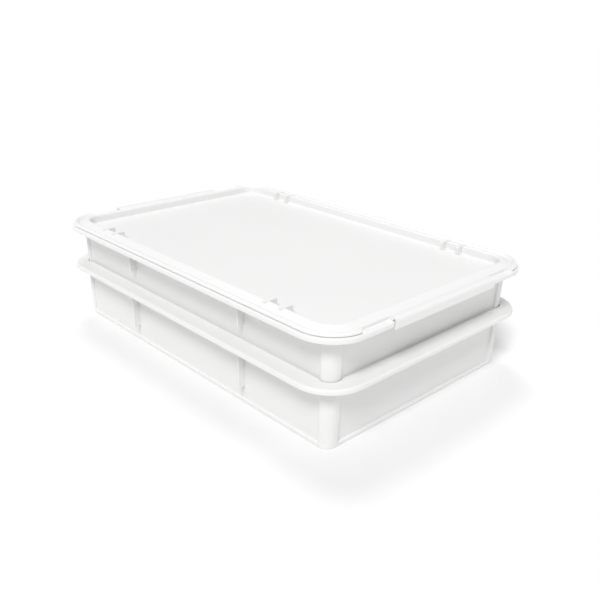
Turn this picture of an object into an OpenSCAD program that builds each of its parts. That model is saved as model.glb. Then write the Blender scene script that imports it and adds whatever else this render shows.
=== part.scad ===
// Dough proofing container: a stack of two open trays under one lift-off lid.
// A deep tray stands on the ground, a shallower tray nests its foot into the deep one's rim,
// and the lid drops its sunk panel into the shallow tray's mouth.
// X runs along the length, Y across the width, Z up; the origin is the middle of the underside.

/* [Stack] */
// Length of both trays over their rims
tray_length = 600; // [500:5:700]
// Width of both trays over their rims
tray_width = 400; // [320:5:480]
// Height of the deep tray, underside to rim top
lower_height = 90; // [72:1:130]
// Height of the shallow tray, underside to rim top
upper_height = 70; // [56:1:110]
// How far a tray's foot sinks below the rim that carries it
nest_depth = 8; // [6:0.5:10]
// Gap all round between a nested foot and the mouth it stands in
stack_clearance = 0.8; // [0.5:0.1:1.5]

/* [Tray walls] */
// Thickness of the moulded walls
wall_t = 2.5; // [2:0.1:3.2]
// Thickness of the tray floors
floor_t = 2.8; // [2:0.1:4]
// Lean of the walls from upright, in degrees
draft = 1.9; // [1:0.1:2.5]
// Outer radius of the wall at the corner posts
wall_corner_r = 17; // [14:0.5:24]
// Radius of the sweep from wall to floor inside a tray
floor_sweep_r = 5; // [3:0.5:6]
// How far the wall panels lie behind the corner posts and the foot band
panel_recess = 3; // [1.5:0.1:3.6]
// Height of the plain foot band under the panels
foot_band_h = 6; // [4:0.5:9]
// Height of the slope from the foot band's face to a panel
band_slope_h = 1.5; // [0.8:0.1:2.5]
// Length of a corner post along the long side
post_length = 18; // [17:0.5:26]
// Width of a corner post along the short side
post_width = 23; // [18:0.5:30]
// Rounding of the foot's outer edge
foot_edge_r = 1; // [0.4:0.1:1.5]

/* [Rim] */
// How far the rim stands out from the wall
flange_w = 22; // [17:0.5:27]
// Outer radius of the rims' and the lid's corners
rim_corner_r = 52; // [46:1:60]
// Thickness of the rim's flat top
flange_t = 2.6; // [2:0.1:3.2]
// Full height of the rim's turned-down lip
lip_h = 7; // [5.5:0.5:9]
// Rounding of the rim's outer top edge
rim_edge_r = 3; // [2:0.1:3.4]
// Rounding of the mouth's top edge
mouth_edge_r = 1.2; // [0.5:0.1:1.6]
// Thickness left under the ledge that carries the next tray
ledge_t = 3; // [2:0.1:4]

/* [Side ribs] */
// Distance of the two upright ribs from the middle of a long side
rib_x = 124; // [100:0.5:150]
// Thickness of an upright rib
rib_w = 2.4; // [1.8:0.1:4]
// How far a rib stands out of the wall panel
rib_out = 10; // [7:0.5:12]
// Height of a rib's lower end above the deep tray's underside
lower_rib_foot_z = 24; // [15:0.5:30]
// Height of a rib's lower end above the shallow tray's underside
upper_rib_foot_z = 29; // [15:0.5:32]
// Height of the rib's spread under the rim
rib_spread_h = 6; // [3:0.5:8]
// Rounding of the rib's lower end
rib_edge_r = 1; // [0.5:0.1:2]

/* [Lid] */
// Height of the ridge round the sunk panel above the rim that the lid rests on
ridge_rise = 6; // [5.4:0.1:7]
// Thickness of the lid's skin
lid_t = 2.2; // [1.8:0.1:2.6]
// Gap between the sunk panel's underside and the ledge level below it
panel_gap = 0.7; // [0.4:0.1:1.5]
// Lean of the sunk panel's wall, in degrees
panel_draft = 8; // [4:0.5:12]
// Gap all round between the sunk panel's wall and the tray's mouth
lid_clearance = 2.2; // [1.2:0.1:3]
// Rounding where the sunk panel meets its wall
panel_fillet_r = 2; // [1.5:0.1:2.5]
// Rounding of the ridge
ridge_r = 3.2; // [2.8:0.1:4]
// How far the lid's outer edge lies inside the rim's
lid_inset = 2; // [1:0.1:3]
// Height of the bead round the lid's outer edge
bead_rise = 4.8; // [4.4:0.1:5.3]
// Width of the bead's top
bead_w = 5; // [4.8:0.1:6]
// Rounding of the bead's outer edge
bead_r = 3.3; // [2.8:0.1:3.8]
// How far the bead tapers in down to the rim
seat_undercut = 1.8; // [1.2:0.1:2.2]
// Distance of the shallow groove from the lid's outer edge
groove_in = 9; // [8:0.5:10.5]
// Gap between the groove's underside and the rim
groove_gap = 0.4; // [0.3:0.1:0.8]

/* [Lid flaps and notches] */
// Length of the grip flap on each short side
flap_length = 197; // [150:1:240]
// Thickness of the grip flap
flap_t = 2.7; // [2:0.1:3.2]
// Gap between the flap and the rim's lip
flap_clearance = 0.8; // [0.5:0.1:1.5]
// How far the flap reaches below the rim's lip
flap_below_lip = 2; // [1:0.1:4]
// Outer radius of the flap's top edge
flap_r = 5; // [4:0.1:5.2]
// Width of the notch beside each flap, along its inner edge
notch_w = 45.5; // [30:0.5:50]
// How far outside the groove the lid's edge stands in a notch
notch_past = 1.3; // [0.9:0.1:2]
// How much wider the notch is along the lid's outer edge
notch_slant = 7; // [4:0.5:10]

/* [Lid lugs] */
// Distance of the inner lug of each pair from the middle of a long side
lug_x = 171; // [150:0.5:190]
// Distance between the two lugs of a pair
lug_pitch = 27.5; // [18:0.5:32]
// Thickness of a lug
lug_w = 5.5; // [4:0.1:8]
// Reach of a lug from the ridge over the sunk panel
lug_reach = 13.5; // [9:0.5:18]
// Reach of a lug from the ridge over the slope behind it
lug_back = 6; // [4:0.5:8]
// Height of a lug's top above the ridge
lug_rise = 0.3; // [0:0.1:1]
// Rounding of a lug's inner end
lug_edge_r = 1.5; // [0.8:0.1:2.5]

/* [Hidden] */
$fn = 64;
arc_steps = 6;
join = 1;
hx = tray_length / 2 - flange_w;
hy = tray_width / 2 - flange_w;
rim_r = rim_corner_r - flange_w;
rim_flat = flange_w - rim_edge_r;
lip_in = flange_w - wall_t;
lean = tan(draft);
mouth_low = stack_clearance - upper_height * lean;
mouth_top = mouth_low + nest_depth * lean;
upper_z = lower_height - nest_depth;
lid_z = upper_z + upper_height;
lid_out = flange_w - lid_inset;
seat_out = lid_out - seat_undercut;
seat_in = seat_out - lid_t;
bead_in = lid_out - bead_w;
groove_u = lid_out - groove_in;
groove_z = lid_t + groove_gap;
notch_u = groove_u + notch_past;
panel_z = lid_t + panel_gap - nest_depth;
sunk_u0 = mouth_top - lid_clearance - lid_t / cos(panel_draft);
ridge_z = ridge_rise - ridge_r;
ridge_u = sunk(ridge_z + ridge_r * sin(panel_draft)) + ridge_r * cos(panel_draft);
foot_z = panel_z + panel_fillet_r;
foot_u = sunk(foot_z - panel_fillet_r * sin(panel_draft)) - panel_fillet_r * cos(panel_draft);
slope_a = atan((ridge_rise - groove_z) / (groove_u - ridge_u));

// Points of an arc in a section, from angle a to angle b.
function arc(cx, cy, r, a, b) =
    [for (i = [0 : arc_steps]) let (t = a + (b - a) * i / arc_steps) [cx + r * cos(t), cy + r * sin(t)]];

// Outer face of the posts and the foot band at height z, measured outwards from the wall line at the rim.
function face(h, z) = -(h - z) * lean;

// Inner face of the wall at height z.
function inner(h, z) = face(h, z) - panel_recess - wall_t;

// Upper face of the sunk panel's wall at height z.
function sunk(z) = sunk_u0 + z * tan(panel_draft);

// Where the outer end of a notch lies along the short side.
function slant_y(u) = flap_length / 2 + notch_w + (u - notch_u) * notch_slant / (lid_out - notch_u);

// Carries a section round the wall line, whose corners have radius r.
module swept(r) {
    ax = hx - r;
    ay = hy - r;
    for (s = [0, 180]) rotate([0, 0, s]) {
        translate([ax, ay, 0])
            rotate_extrude(angle = 90)
                translate([r, 0])
                    children();
        translate([-ax, ay, 0])
            rotate([0, 0, 90])
                rotate_extrude(angle = 90)
                    translate([r, 0])
                        children();
        translate([hx, ay, 0])
            rotate([90, 0, 0])
                linear_extrude(2 * ay)
                    children();
        translate([-ax, hy, 0])
            rotate([90, 0, 90])
                linear_extrude(2 * ax)
                    children();
    }
}

// Flat outline that ends d outside the wall line, whose corners have radius r.
module outline(d, r) {
    cx = hx - r;
    cy = hy - r;
    square([2 * (hx + d), 2 * cy], center = true);
    square([2 * cx, 2 * (hy + d)], center = true);
    for (sx = [-1, 1], sy = [-1, 1])
        translate([sx * cx, sy * cy])
            circle(r + d);
}

// Section of a tray's wall: foot, leaning wall, ledge and mouth.
module wall_section(h) {
    ledge_z = h - nest_depth;
    collar_z = ledge_z - ledge_t;
    sweep_z = floor_t + floor_sweep_r;
    polygon(concat(
        [[inner(h, sweep_z) - floor_sweep_r, 0]],
        arc(face(h, foot_edge_r) - foot_edge_r, foot_edge_r, foot_edge_r, -90, 0),
        [
            [face(h, collar_z), collar_z],
            [mouth_top + wall_t, collar_z + 1],
            [mouth_top + wall_t, h]
        ],
        arc(mouth_top + mouth_edge_r, h - mouth_edge_r, mouth_edge_r, 90, 180),
        [
            [mouth_low, ledge_z],
            [inner(h, ledge_z), ledge_z]
        ],
        arc(inner(h, sweep_z) - floor_sweep_r, sweep_z, floor_sweep_r, 0, -90)
    ));
}

// Section of the rim's rounded edge and turned-down lip.
module lip_section(h) {
    polygon(concat(
        [
            [rim_flat - join, h - flange_t],
            [lip_in, h - flange_t],
            [lip_in, h - lip_h],
            [flange_w - 0.5, h - lip_h],
            [flange_w, h - lip_h + 0.5]
        ],
        arc(flange_w - rim_edge_r, h - rim_edge_r, rim_edge_r, 0, 90),
        [[rim_flat - join, h]]
    ));
}

// Flat top of the rim, between the mouth's wall and the lip.
module flange(h) {
    translate([0, 0, h - flange_t])
        linear_extrude(flange_t)
            difference() {
                outline(rim_flat - join / 2, rim_r);
                outline(mouth_top + wall_t - join / 2, wall_corner_r);
            }
}

// Hollow behind one corner post, which keeps the moulded wall one thickness.
module post_hollow(h) {
    low = floor_t + floor_sweep_r;
    high = h - nest_depth - ledge_t;
    translate([hx - wall_corner_r, hy - wall_corner_r, 0])
        rotate_extrude(angle = 90)
            translate([wall_corner_r, 0])
                polygon([
                    [inner(h, low) - join, low],
                    [face(h, low) - wall_t, low],
                    [face(h, high) - wall_t, high],
                    [inner(h, high) - join, high]
                ]);
}

// Shallow recess of one wall panel, cut along the leaning wall between two posts.
module panel_cut(h, side, half) {
    high = h - nest_depth - ledge_t - 1;
    reach = panel_recess + 3;
    translate([0, -(side + face(h, foot_band_h) - panel_recess), foot_band_h])
        rotate([draft, 0, 0])
            linear_extrude((high - foot_band_h) / cos(draft))
                mirror([0, 1])
                    difference() {
                        translate([-half - panel_recess, 0])
                            square([2 * (half + panel_recess), reach]);
                        for (s = [-1, 1])
                            translate([s * (half + panel_recess), 0])
                                circle(panel_recess);
                    }
    translate([-half, -side, 0])
        rotate([90, 0, 90])
            linear_extrude(2 * half)
                mirror([1, 0])
                    polygon([
                        [face(h, foot_band_h) - panel_recess + join, foot_band_h + band_slope_h],
                        [face(h, foot_band_h) - panel_recess + join, foot_band_h],
                        [face(h, foot_band_h), foot_band_h - band_slope_h],
                        [face(h, foot_band_h) + join, foot_band_h - band_slope_h],
                        [face(h, foot_band_h) + join, foot_band_h + band_slope_h]
                    ]);
}

// One upright rib of a long side, with a blunt lower end and a spread under the rim.
module rib(h, foot) {
    spread_z = h - lip_h - rib_spread_h;
    ledge_z = h - nest_depth;
    collar_z = ledge_z - ledge_t;
    collar_mid = mouth_top + wall_t / 2;
    root = face(h, foot) - panel_recess - join;
    crest = face(h, foot) - panel_recess + rib_out;
    crest_top = face(h, spread_z) - panel_recess + rib_out;
    translate([-rib_w / 2, -hy, 0])
        rotate([90, 0, 90])
            linear_extrude(rib_w)
                mirror([1, 0])
                    polygon(concat(
                        [[root, foot]],
                        arc(crest - rib_edge_r, foot + rib_edge_r, rib_edge_r, -90, 0),
                        [
                            [crest_top, spread_z],
                            [lip_in + join, h - lip_h + 1],
                            [lip_in + join, h - flange_t + join],
                            [collar_mid, h - flange_t + join],
                            [collar_mid, ledge_z],
                            [face(h, collar_z) - panel_recess - join, collar_z]
                        ]
                    ));
}

// A whole tray of height h, with its underside at z = 0 and its ribs' lower ends at height foot.
module tray(h, foot) {
    difference() {
        union() {
            swept(wall_corner_r)
                wall_section(h);
            linear_extrude(floor_t)
                outline(inner(h, floor_t + floor_sweep_r) - floor_sweep_r + join, wall_corner_r);
        }
        for (s = [0, 180]) rotate([0, 0, s]) {
            panel_cut(h, hy, hx - post_length);
            rotate([0, 0, 90])
                panel_cut(h, hx, hy - post_width);
            post_hollow(h);
            mirror([1, 0, 0])
                post_hollow(h);
        }
    }
    flange(h);
    swept(rim_r)
        lip_section(h);
    for (s = [0, 180]) rotate([0, 0, s])
        for (x = [-rib_x, rib_x])
            translate([x, 0, 0])
                rib(h, foot);
}

// Section of the lid's border: bead, groove, slope up to the ridge, and the sunk panel's wall.
module border_section() {
    polygon(concat(
        [
            [seat_in, 0],
            [seat_out, 0]
        ],
        arc(lid_out - bead_r, bead_rise - bead_r, bead_r, 0, 90),
        [
            [bead_in, bead_rise],
            [groove_u + 0.5, groove_z],
            [groove_u - 0.5, groove_z]
        ],
        arc(ridge_u, ridge_z, ridge_r, 90 - slope_a, 180 - panel_draft),
        arc(foot_u, foot_z, panel_fillet_r, -panel_draft, -90),
        [
            [foot_u - join, panel_z],
            [foot_u - join, panel_z - lid_t]
        ],
        arc(foot_u, foot_z, panel_fillet_r + lid_t, -90, -panel_draft),
        arc(ridge_u, ridge_z, ridge_r - lid_t, 180 - panel_draft, 90 - slope_a),
        [
            [groove_u - 0.5, groove_gap],
            [groove_u + 1.3, groove_gap],
            [bead_in + 0.5, bead_rise - lid_t],
            [seat_in, bead_rise - lid_t]
        ]
    ));
}

// Grip flap of a short side, rolled over the rim from the bead's top.
module flap() {
    out = flange_w + flap_clearance + flap_t;
    low = -lip_h - flap_below_lip;
    in = out - flap_t;
    inner_r = flap_r - flap_t + 0.4;
    translate([hx, flap_length / 2, 0])
        rotate([90, 0, 0])
            linear_extrude(flap_length)
                polygon(concat(
                    arc(out - 0.8, low + 0.8, 0.8, -90, 0),
                    arc(out - flap_r, bead_rise - flap_r, flap_r, 0, 90),
                    [
                        [seat_in, bead_rise],
                        [seat_in, bead_rise - lid_t],
                        [in - inner_r, bead_rise - lid_t]
                    ],
                    arc(in - inner_r, bead_rise - lid_t - inner_r, inner_r, 90, 0),
                    [[in, low]]
                ));
}

// Notch beside a flap: the bead is left out, so that the rim lies open to the fingers.
module notch_cut() {
    near = flap_length / 2;
    translate([hx, 0, -join])
        linear_extrude(bead_rise + 2 * join)
            polygon([
                [notch_u, near],
                [lid_out + join, near],
                [lid_out + join, slant_y(lid_out + join)],
                [notch_u, near + notch_w]
            ]);
}

// Walls that close the lid's edge round a notch, down to the rim.
module notch_wall() {
    near = flap_length / 2;
    far = near + notch_w;
    end_h = bead_rise - lid_t + 0.3;
    translate([hx, 0, 0]) {
        translate([notch_u - lid_t, near - lid_t, 0])
            cube([lid_t, notch_w + 2 * lid_t, groove_z - 0.2]);
        translate([notch_u, near - lid_t, 0])
            cube([rim_flat - 0.3 - notch_u, lid_t, end_h]);
        linear_extrude(end_h)
            polygon([
                [notch_u, far],
                [seat_out, slant_y(seat_out)],
                [seat_out, slant_y(seat_out) + 1.5 * lid_t],
                [notch_u, far + 1.5 * lid_t]
            ]);
    }
}

// Lug across the ridge of a long side, with a blunt end that stands over the sunk panel.
module lug() {
    inner_u = ridge_u - lug_reach;
    outer_u = ridge_u + lug_back;
    top = ridge_rise + lug_rise;
    mid_r = ridge_r - lid_t / 2;
    back_u = outer_u + 0.8;
    back_z = ridge_z + mid_r / cos(slope_a) - (back_u - ridge_u) * tan(slope_a);
    translate([-lug_w / 2, -hy, 0])
        rotate([90, 0, 90])
            linear_extrude(lug_w)
                mirror([1, 0])
                    polygon(concat(
                        [[inner_u, panel_z - lid_t / 2]],
                        arc(inner_u + lug_edge_r, top - lug_edge_r, lug_edge_r, 180, 90),
                        [
                            [outer_u, top],
                            [back_u, back_z]
                        ],
                        arc(ridge_u, ridge_z, mid_r, 90 - slope_a, 180 - panel_draft),
                        arc(foot_u, foot_z, panel_fillet_r + lid_t / 2, -panel_draft, -90)
                    ));
}

module lower_tray() {
    color([0.93, 0.93, 0.92])
        tray(lower_height, lower_rib_foot_z);
}

module upper_tray() {
    color([0.93, 0.93, 0.92])
        translate([0, 0, upper_z])
            tray(upper_height, upper_rib_foot_z);
}

module lid() {
    color([0.95, 0.95, 0.94])
        translate([0, 0, lid_z]) {
            difference() {
                swept(rim_r)
                    border_section();
                for (s = [0, 180]) rotate([0, 0, s]) {
                    notch_cut();
                    mirror([0, 1, 0])
                        notch_cut();
                }
            }
            translate([0, 0, panel_z - lid_t])
                linear_extrude(lid_t)
                    outline(foot_u, rim_r);
            for (s = [0, 180]) rotate([0, 0, s]) {
                flap();
                notch_wall();
                mirror([0, 1, 0])
                    notch_wall();
                for (m = [0, 1]) mirror([m, 0, 0])
                    for (x = [lug_x, lug_x + lug_pitch])
                        translate([x, 0, 0])
                            lug();
            }
        }
}

lower_tray();
upper_tray();
lid();
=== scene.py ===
"""Looks of a dough proofing container: two stacked white trays under a lift-off lid."""

import math

import bpy
from mathutils import Euler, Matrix

bl_info = {
    "name": "Dough Proofing Container",
    "version": (1, 0, 0),
    "blender": (4, 5, 0),
    "location": "3D View > Sidebar > Dough container",
    "description": "Finishes, studio and camera for two stacked dough trays with a lid",
    "category": "Object",
}

# Each soft light's name, its compass turn from +X and its height above the floor, in degrees.
LIGHTS = (
    ("front", 300.0, 52.0),
    ("back", 150.0, 62.0),
    ("right", 30.0, 32.0),
)

# The round floor: the sides of each ring, and where its rise steepens, as a share of the way
# from the flat part to the rim and of the whole rise.
FLOOR_SIDES = 96
BEND_REACH = 1 / 3
BEND_RISE = 1 / 7

# The camera's frame, in millimetres.
SENSOR_WIDTH = 36.0

# The white polypropylene, as both finishes use it.
PLASTIC_IOR = 1.49
TONE_SPREAD = 0.015  # share by which the slow tone darkens or lightens the colour
RUB_SHADE = 0.95  # share of the colour that is left where a face is rubbed
ROUGHNESS_SPREAD = 0.05  # how far the slow tone lowers or raises the roughness
RUB_ROUGHNESS = 0.2  # how much a full rub adds to the roughness
GRAIN_STRENGTH = 0.35
TRAY_TONE_SCALE = 5.0
LID_TONE_SCALE = 4.0

# The patterns of the moulded surface.
GRAIN_SCALE = 900.0
GRAIN_DETAIL = 2.0
TONE_DETAIL = 3.0
TONE_ROUGHNESS = 0.45
RUB_AMOUNT = 0.5
RUB_DETAIL = 4.0
RUB_STRETCH = (28.0, 190.0, 90.0)  # noise cells to the metre along X, Y and Z
RUB_TURN = (0.3, 0.2, 0.5)  # radians
RUB_RANGE = (0.60, 0.78)  # the part of the noise that shows as a rub

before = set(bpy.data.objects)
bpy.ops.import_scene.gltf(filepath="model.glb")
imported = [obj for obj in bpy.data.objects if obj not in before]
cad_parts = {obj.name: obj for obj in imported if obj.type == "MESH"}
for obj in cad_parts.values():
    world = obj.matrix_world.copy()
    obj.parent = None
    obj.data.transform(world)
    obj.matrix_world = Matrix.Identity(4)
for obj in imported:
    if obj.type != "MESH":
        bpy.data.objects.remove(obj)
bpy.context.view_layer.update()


class TrayFinish(bpy.types.PropertyGroup):
    """The white polypropylene of the two trays."""

    colour: bpy.props.FloatVectorProperty(
        name="Colour",
        description="Base colour of the tray plastic",
        subtype="COLOR",
        size=3,
        min=0.0,
        max=1.0,
        default=(0.80, 0.80, 0.795),
    )
    roughness: bpy.props.FloatProperty(
        name="Roughness",
        description="Roughness of the satin face",
        subtype="FACTOR",
        min=0.0,
        max=1.0,
        default=0.42,
    )
    grain: bpy.props.FloatProperty(
        name="Grain height",
        description="Height of the fine moulded grain",
        subtype="DISTANCE",
        unit="LENGTH",
        min=0.0,
        max=0.001,
        default=0.00004,
    )


class LidFinish(bpy.types.PropertyGroup):
    """The white polypropylene of the lid."""

    colour: bpy.props.FloatVectorProperty(
        name="Colour",
        description="Base colour of the lid plastic",
        subtype="COLOR",
        size=3,
        min=0.0,
        max=1.0,
        default=(0.80, 0.80, 0.797),
    )
    roughness: bpy.props.FloatProperty(
        name="Roughness",
        description="Roughness of the lid's face",
        subtype="FACTOR",
        min=0.0,
        max=1.0,
        default=0.38,
    )
    grain: bpy.props.FloatProperty(
        name="Grain height",
        description="Height of the fine moulded grain",
        subtype="DISTANCE",
        unit="LENGTH",
        min=0.0,
        max=0.001,
        default=0.00003,
    )


class StudioSettings(bpy.types.PropertyGroup):
    """Floor, lights and camera."""

    floor_colour: bpy.props.FloatVectorProperty(
        name="Floor colour",
        description="Colour of the plain pale floor",
        subtype="COLOR",
        size=3,
        min=0.0,
        max=1.0,
        default=(0.855, 0.855, 0.855),
    )
    floor_flat: bpy.props.FloatProperty(
        name="Flat floor",
        description="Radius of the flat part of the floor",
        subtype="DISTANCE",
        unit="LENGTH",
        default=10.0,
    )
    floor_reach: bpy.props.FloatProperty(
        name="Floor reach",
        description="Radius of the whole floor",
        subtype="DISTANCE",
        unit="LENGTH",
        default=70.0,
    )
    floor_rise: bpy.props.FloatProperty(
        name="Floor rise",
        description="Height that the floor's rim climbs to, so that no horizon shows",
        subtype="DISTANCE",
        unit="LENGTH",
        default=8.0,
    )
    sky: bpy.props.FloatProperty(
        name="Room light",
        description="Strength of the even light from all round",
        min=0.0,
        default=0.445,
    )
    backdrop: bpy.props.FloatProperty(
        name="Backdrop",
        description="Brightness of the plain backdrop where the camera sees past the floor",
        min=0.0,
        default=1.1,
    )
    front: bpy.props.FloatProperty(
        name="Front light",
        description="Strength of the high soft light before the near corner",
        min=0.0,
        default=2.06,
    )
    back: bpy.props.FloatProperty(
        name="Back light",
        description="Strength of the high soft light over the far corner",
        min=0.0,
        default=0.68,
    )
    right: bpy.props.FloatProperty(
        name="Right light",
        description="Strength of the lower soft light beside the short face",
        min=0.0,
        default=0.2,
    )
    spread: bpy.props.FloatProperty(
        name="Light spread",
        description="Angle that each light fills, which softens its shadows",
        subtype="ANGLE",
        unit="ROTATION",
        default=math.radians(18.0),
    )
    camera_place: bpy.props.FloatVectorProperty(
        name="Camera place",
        description="Where the camera stands",
        subtype="TRANSLATION",
        unit="LENGTH",
        size=3,
        default=(0.7571, -0.6856, 0.4828),
    )
    camera_turn: bpy.props.FloatVectorProperty(
        name="Camera rotation",
        description="Rotation of the camera",
        subtype="EULER",
        unit="ROTATION",
        size=3,
        default=(math.radians(67.372), math.radians(-1.114), math.radians(46.628)),
    )
    focal: bpy.props.FloatProperty(
        name="Focal length",
        description="Focal length of the camera, in millimetres on a 36 mm frame",
        min=10.0,
        default=43.2,
    )


def add_node(tree, kind, place, values=None, **settings):
    """A new node at its place in the editor, with its settings and the values of its inputs."""
    node = tree.nodes.new(kind)
    node.location = place
    for name, value in settings.items():
        setattr(node, name, value)
    for name, value in (values or {}).items():
        node.inputs[name].default_value = value
    return node


def new_group(name, inputs, outputs):
    """An empty node group with named number sockets, and its input and output nodes."""
    group = bpy.data.node_groups.new(name, "ShaderNodeTree")
    for label, value in inputs:
        socket = group.interface.new_socket(
            label, in_out="INPUT", socket_type="NodeSocketFloat"
        )
        socket.default_value = value
    for label in outputs:
        group.interface.new_socket(label, in_out="OUTPUT", socket_type="NodeSocketFloat")
    start = add_node(group, "NodeGroupInput", (-900, 0))
    end = add_node(group, "NodeGroupOutput", (700, 0))
    return group, start, end


def moulded_surface_group():
    """Fine grain, slow thickness tone and handling rubs of a moulded face, built once."""
    built = bpy.data.node_groups.get("moulded_surface")
    if built:
        return built
    group, start, end = new_group(
        "moulded_surface",
        [
            ("Grain Scale", GRAIN_SCALE),
            ("Tone Scale", TRAY_TONE_SCALE),
            ("Rub Amount", RUB_AMOUNT),
        ],
        ["Grain", "Tone", "Rubs"],
    )
    links = group.links
    place = add_node(group, "ShaderNodeTexCoord", (-900, -300))

    grain = add_node(group, "ShaderNodeTexNoise", (-500, 300), {"Detail": GRAIN_DETAIL})
    links.new(place.outputs["Object"], grain.inputs["Vector"])
    links.new(start.outputs["Grain Scale"], grain.inputs["Scale"])
    links.new(grain.outputs["Fac"], end.inputs["Grain"])

    tone = add_node(
        group,
        "ShaderNodeTexNoise",
        (-500, 0),
        {"Detail": TONE_DETAIL, "Roughness": TONE_ROUGHNESS},
    )
    links.new(place.outputs["Object"], tone.inputs["Vector"])
    links.new(start.outputs["Tone Scale"], tone.inputs["Scale"])
    links.new(tone.outputs["Fac"], end.inputs["Tone"])

    stretch = add_node(
        group,
        "ShaderNodeMapping",
        (-700, -300),
        {"Scale": RUB_STRETCH, "Rotation": RUB_TURN},
    )
    rubs = add_node(
        group,
        "ShaderNodeTexNoise",
        (-500, -300),
        {"Scale": 1.0, "Detail": RUB_DETAIL},
    )
    pick = add_node(
        group,
        "ShaderNodeMapRange",
        (-250, -300),
        {"From Min": RUB_RANGE[0], "From Max": RUB_RANGE[1]},
    )
    amount = add_node(group, "ShaderNodeMath", (0, -300), operation="MULTIPLY")
    links.new(place.outputs["Object"], stretch.inputs["Vector"])
    links.new(stretch.outputs["Vector"], rubs.inputs["Vector"])
    links.new(rubs.outputs["Fac"], pick.inputs["Value"])
    links.new(pick.outputs["Result"], amount.inputs[0])
    links.new(start.outputs["Rub Amount"], amount.inputs[1])
    links.new(amount.outputs["Value"], end.inputs["Rubs"])
    return group


def scaled(colour, factor):
    """The colour made lighter or darker by one factor, with full alpha."""
    return tuple(min(1.0, c * factor) for c in colour) + (1.0,)


def plastic(name, finish, tone_scale):
    """White satin plastic with slow tone, fine grain and faint rubs."""
    material = bpy.data.materials.new(name)
    material.use_nodes = True
    tree = material.node_tree
    links = tree.links
    shader = tree.nodes["Principled BSDF"]
    shader.inputs["IOR"].default_value = PLASTIC_IOR
    surface = add_node(
        tree,
        "ShaderNodeGroup",
        (-900, 0),
        {"Tone Scale": tone_scale},
        node_tree=moulded_surface_group(),
    )

    tone = add_node(
        tree,
        "ShaderNodeMix",
        (-600, 200),
        {
            "A": scaled(finish.colour, 1 - TONE_SPREAD),
            "B": scaled(finish.colour, 1 + TONE_SPREAD),
        },
        data_type="RGBA",
    )
    rubbed = add_node(
        tree,
        "ShaderNodeMix",
        (-350, 200),
        {"B": scaled(finish.colour, RUB_SHADE)},
        data_type="RGBA",
    )
    links.new(surface.outputs["Tone"], tone.inputs["Factor"])
    links.new(surface.outputs["Rubs"], rubbed.inputs["Factor"])
    links.new(tone.outputs["Result"], rubbed.inputs["A"])
    links.new(rubbed.outputs["Result"], shader.inputs["Base Color"])

    rough = add_node(
        tree,
        "ShaderNodeMapRange",
        (-600, -50),
        {
            "To Min": finish.roughness - ROUGHNESS_SPREAD,
            "To Max": finish.roughness + ROUGHNESS_SPREAD,
        },
    )
    duller = add_node(
        tree, "ShaderNodeMath", (-350, -50), {1: RUB_ROUGHNESS}, operation="MULTIPLY_ADD"
    )
    links.new(surface.outputs["Tone"], rough.inputs["Value"])
    links.new(surface.outputs["Rubs"], duller.inputs[0])
    links.new(rough.outputs["Result"], duller.inputs[2])
    links.new(duller.outputs["Value"], shader.inputs["Roughness"])

    bump = add_node(
        tree,
        "ShaderNodeBump",
        (-350, -300),
        {"Strength": GRAIN_STRENGTH, "Distance": finish.grain},
    )
    links.new(surface.outputs["Grain"], bump.inputs["Height"])
    links.new(bump.outputs["Normal"], shader.inputs["Normal"])
    return material


def dress(node, material):
    """Gives one CAD piece its finish."""
    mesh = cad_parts[node].data
    mesh.materials.clear()
    mesh.materials.append(material)


class DOUGHBOX_OT_finish_trays(bpy.types.Operator):
    """Give both trays their white satin plastic"""

    bl_idname = "doughbox.finish_trays"
    bl_label = "Finish the trays"

    def execute(self, context):
        material = plastic("tray_plastic", context.scene.doughbox_tray, TRAY_TONE_SCALE)
        for node in ("lower_tray", "upper_tray"):
            dress(node, material)
        return {"FINISHED"}


class DOUGHBOX_OT_finish_lid(bpy.types.Operator):
    """Give the lid its white satin plastic"""

    bl_idname = "doughbox.finish_lid"
    bl_label = "Finish the lid"

    def execute(self, context):
        material = plastic("lid_plastic", context.scene.doughbox_lid, LID_TONE_SCALE)
        dress("lid", material)
        return {"FINISHED"}


def sweep_mesh(inner, outer, rise):
    """A flat round floor whose rim climbs gently, like the far end of a studio sweep."""
    rings = [
        (inner, 0.0),
        (inner + (outer - inner) * BEND_REACH, rise * BEND_RISE),
        (outer, rise),
    ]
    points = []
    for radius, height in rings:
        for i in range(FLOOR_SIDES):
            turn = math.tau * i / FLOOR_SIDES
            points.append((radius * math.cos(turn), radius * math.sin(turn), height))
    faces = [tuple(range(FLOOR_SIDES))]
    for ring in range(len(rings) - 1):
        low = ring * FLOOR_SIDES
        high = low + FLOOR_SIDES
        for i in range(FLOOR_SIDES):
            j = (i + 1) % FLOOR_SIDES
            faces.append((low + i, high + i, high + j, low + j))
    mesh = bpy.data.meshes.new("floor")
    mesh.from_pydata(points, [], faces)
    return mesh


def lay_floor(studio):
    """The matt pale floor under the container."""
    mesh = sweep_mesh(studio.floor_flat, studio.floor_reach, studio.floor_rise)
    floor = bpy.data.objects.new("floor", mesh)
    bpy.context.scene.collection.objects.link(floor)
    paint = bpy.data.materials.new("floor_paint")
    paint.use_nodes = True
    shader = paint.node_tree.nodes["Principled BSDF"]
    shader.inputs["Base Color"].default_value = scaled(studio.floor_colour, 1.0)
    shader.inputs["Roughness"].default_value = 1.0
    shader.inputs["Specular IOR Level"].default_value = 0.0
    mesh.materials.append(paint)


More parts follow.
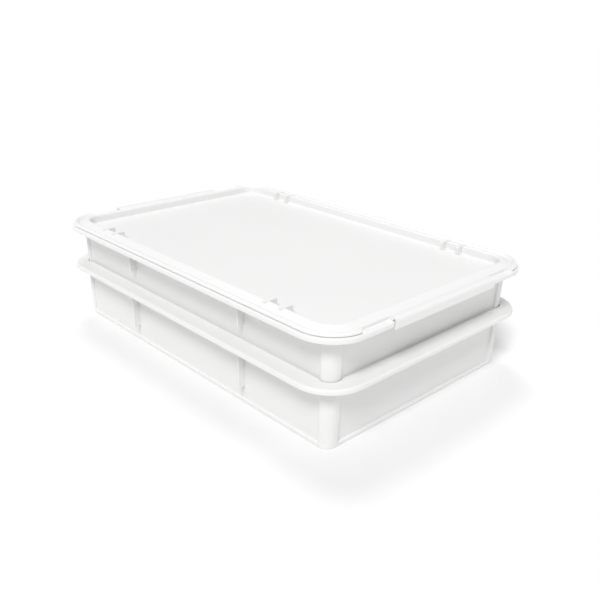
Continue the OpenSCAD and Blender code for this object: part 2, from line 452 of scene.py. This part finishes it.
def light_room(studio):
    """Even white light from all round, and a brighter backdrop for the camera alone."""
    world = bpy.data.worlds.new("room")
    world.use_nodes = True
    tree = world.node_tree
    sky = tree.nodes["Background"]
    sky.inputs["Color"].default_value = (1.0, 1.0, 1.0, 1.0)
    path = add_node(tree, "ShaderNodeLightPath", (-500, 0))
    seen = add_node(
        tree,
        "ShaderNodeMapRange",
        (-250, 0),
        {"To Min": studio.sky, "To Max": studio.backdrop},
    )
    tree.links.new(path.outputs["Is Camera Ray"], seen.inputs["Value"])
    tree.links.new(seen.outputs["Result"], sky.inputs["Strength"])
    bpy.context.scene.world = world


def soft_light(name, turn, height, strength, spread):
    """A soft light from far away, from a compass turn and a height above the floor."""
    data = bpy.data.lights.new(name, "SUN")
    data.energy = strength
    data.angle = spread
    light = bpy.data.objects.new(name, data)
    light.rotation_euler = (math.pi / 2 - height, 0.0, turn + math.pi / 2)
    bpy.context.scene.collection.objects.link(light)


def place_camera(studio):
    """The camera, where the photograph was taken from."""
    data = bpy.data.cameras.new("camera")
    data.sensor_width = SENSOR_WIDTH
    data.lens = studio.focal
    camera = bpy.data.objects.new("camera", data)
    camera.location = studio.camera_place
    camera.rotation_euler = Euler(studio.camera_turn, "XYZ")
    bpy.context.scene.collection.objects.link(camera)
    bpy.context.scene.camera = camera


class DOUGHBOX_OT_build_stage(bpy.types.Operator):
    """Lay the pale floor and set the soft lights and the camera"""

    bl_idname = "doughbox.build_stage"
    bl_label = "Build the stage"

    def execute(self, context):
        studio = context.scene.doughbox_studio
        lay_floor(studio)
        light_room(studio)
        for name, turn, height in LIGHTS:
            strength = getattr(studio, name)
            soft_light(name, math.radians(turn), math.radians(height), strength, studio.spread)
        context.scene.view_settings.view_transform = "Standard"
        place_camera(studio)
        return {"FINISHED"}


class DOUGHBOX_PT_panel(bpy.types.Panel):
    """Finishes, studio settings and steps of the dough container"""

    bl_idname = "DOUGHBOX_PT_panel"
    bl_label = "Dough container"
    bl_space_type = "VIEW_3D"
    bl_region_type = "UI"
    bl_category = "Dough container"

    def draw(self, context):
        for title, name, kind in SETTINGS:
            box = self.layout.box()
            box.label(text=title)
            for field in kind.__annotations__:
                box.prop(getattr(context.scene, name), field)
        for step in STEPS:
            self.layout.operator(step.bl_idname)


STEPS = (DOUGHBOX_OT_finish_trays, DOUGHBOX_OT_finish_lid, DOUGHBOX_OT_build_stage)
SETTINGS = (
    ("Trays", "doughbox_tray", TrayFinish),
    ("Lid", "doughbox_lid", LidFinish),
    ("Studio", "doughbox_studio", StudioSettings),
)


def register():
    """Adds the settings, the steps and the panel."""
    for _, name, kind in SETTINGS:
        bpy.utils.register_class(kind)
        setattr(bpy.types.Scene, name, bpy.props.PointerProperty(type=kind))
    for step in STEPS:
        bpy.utils.register_class(step)
    bpy.utils.register_class(DOUGHBOX_PT_panel)


def unregister():
    """Takes the panel, the steps and the settings away again."""
    bpy.utils.unregister_class(DOUGHBOX_PT_panel)
    for step in reversed(STEPS):
        bpy.utils.unregister_class(step)
    for _, name, kind in reversed(SETTINGS):
        delattr(bpy.types.Scene, name)
        bpy.utils.unregister_class(kind)


def main():
    """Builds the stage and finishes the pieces."""
    register()
    bpy.ops.doughbox.build_stage()
    bpy.ops.doughbox.finish_trays()
    bpy.ops.doughbox.finish_lid()


if __name__ == "__main__":
    main()
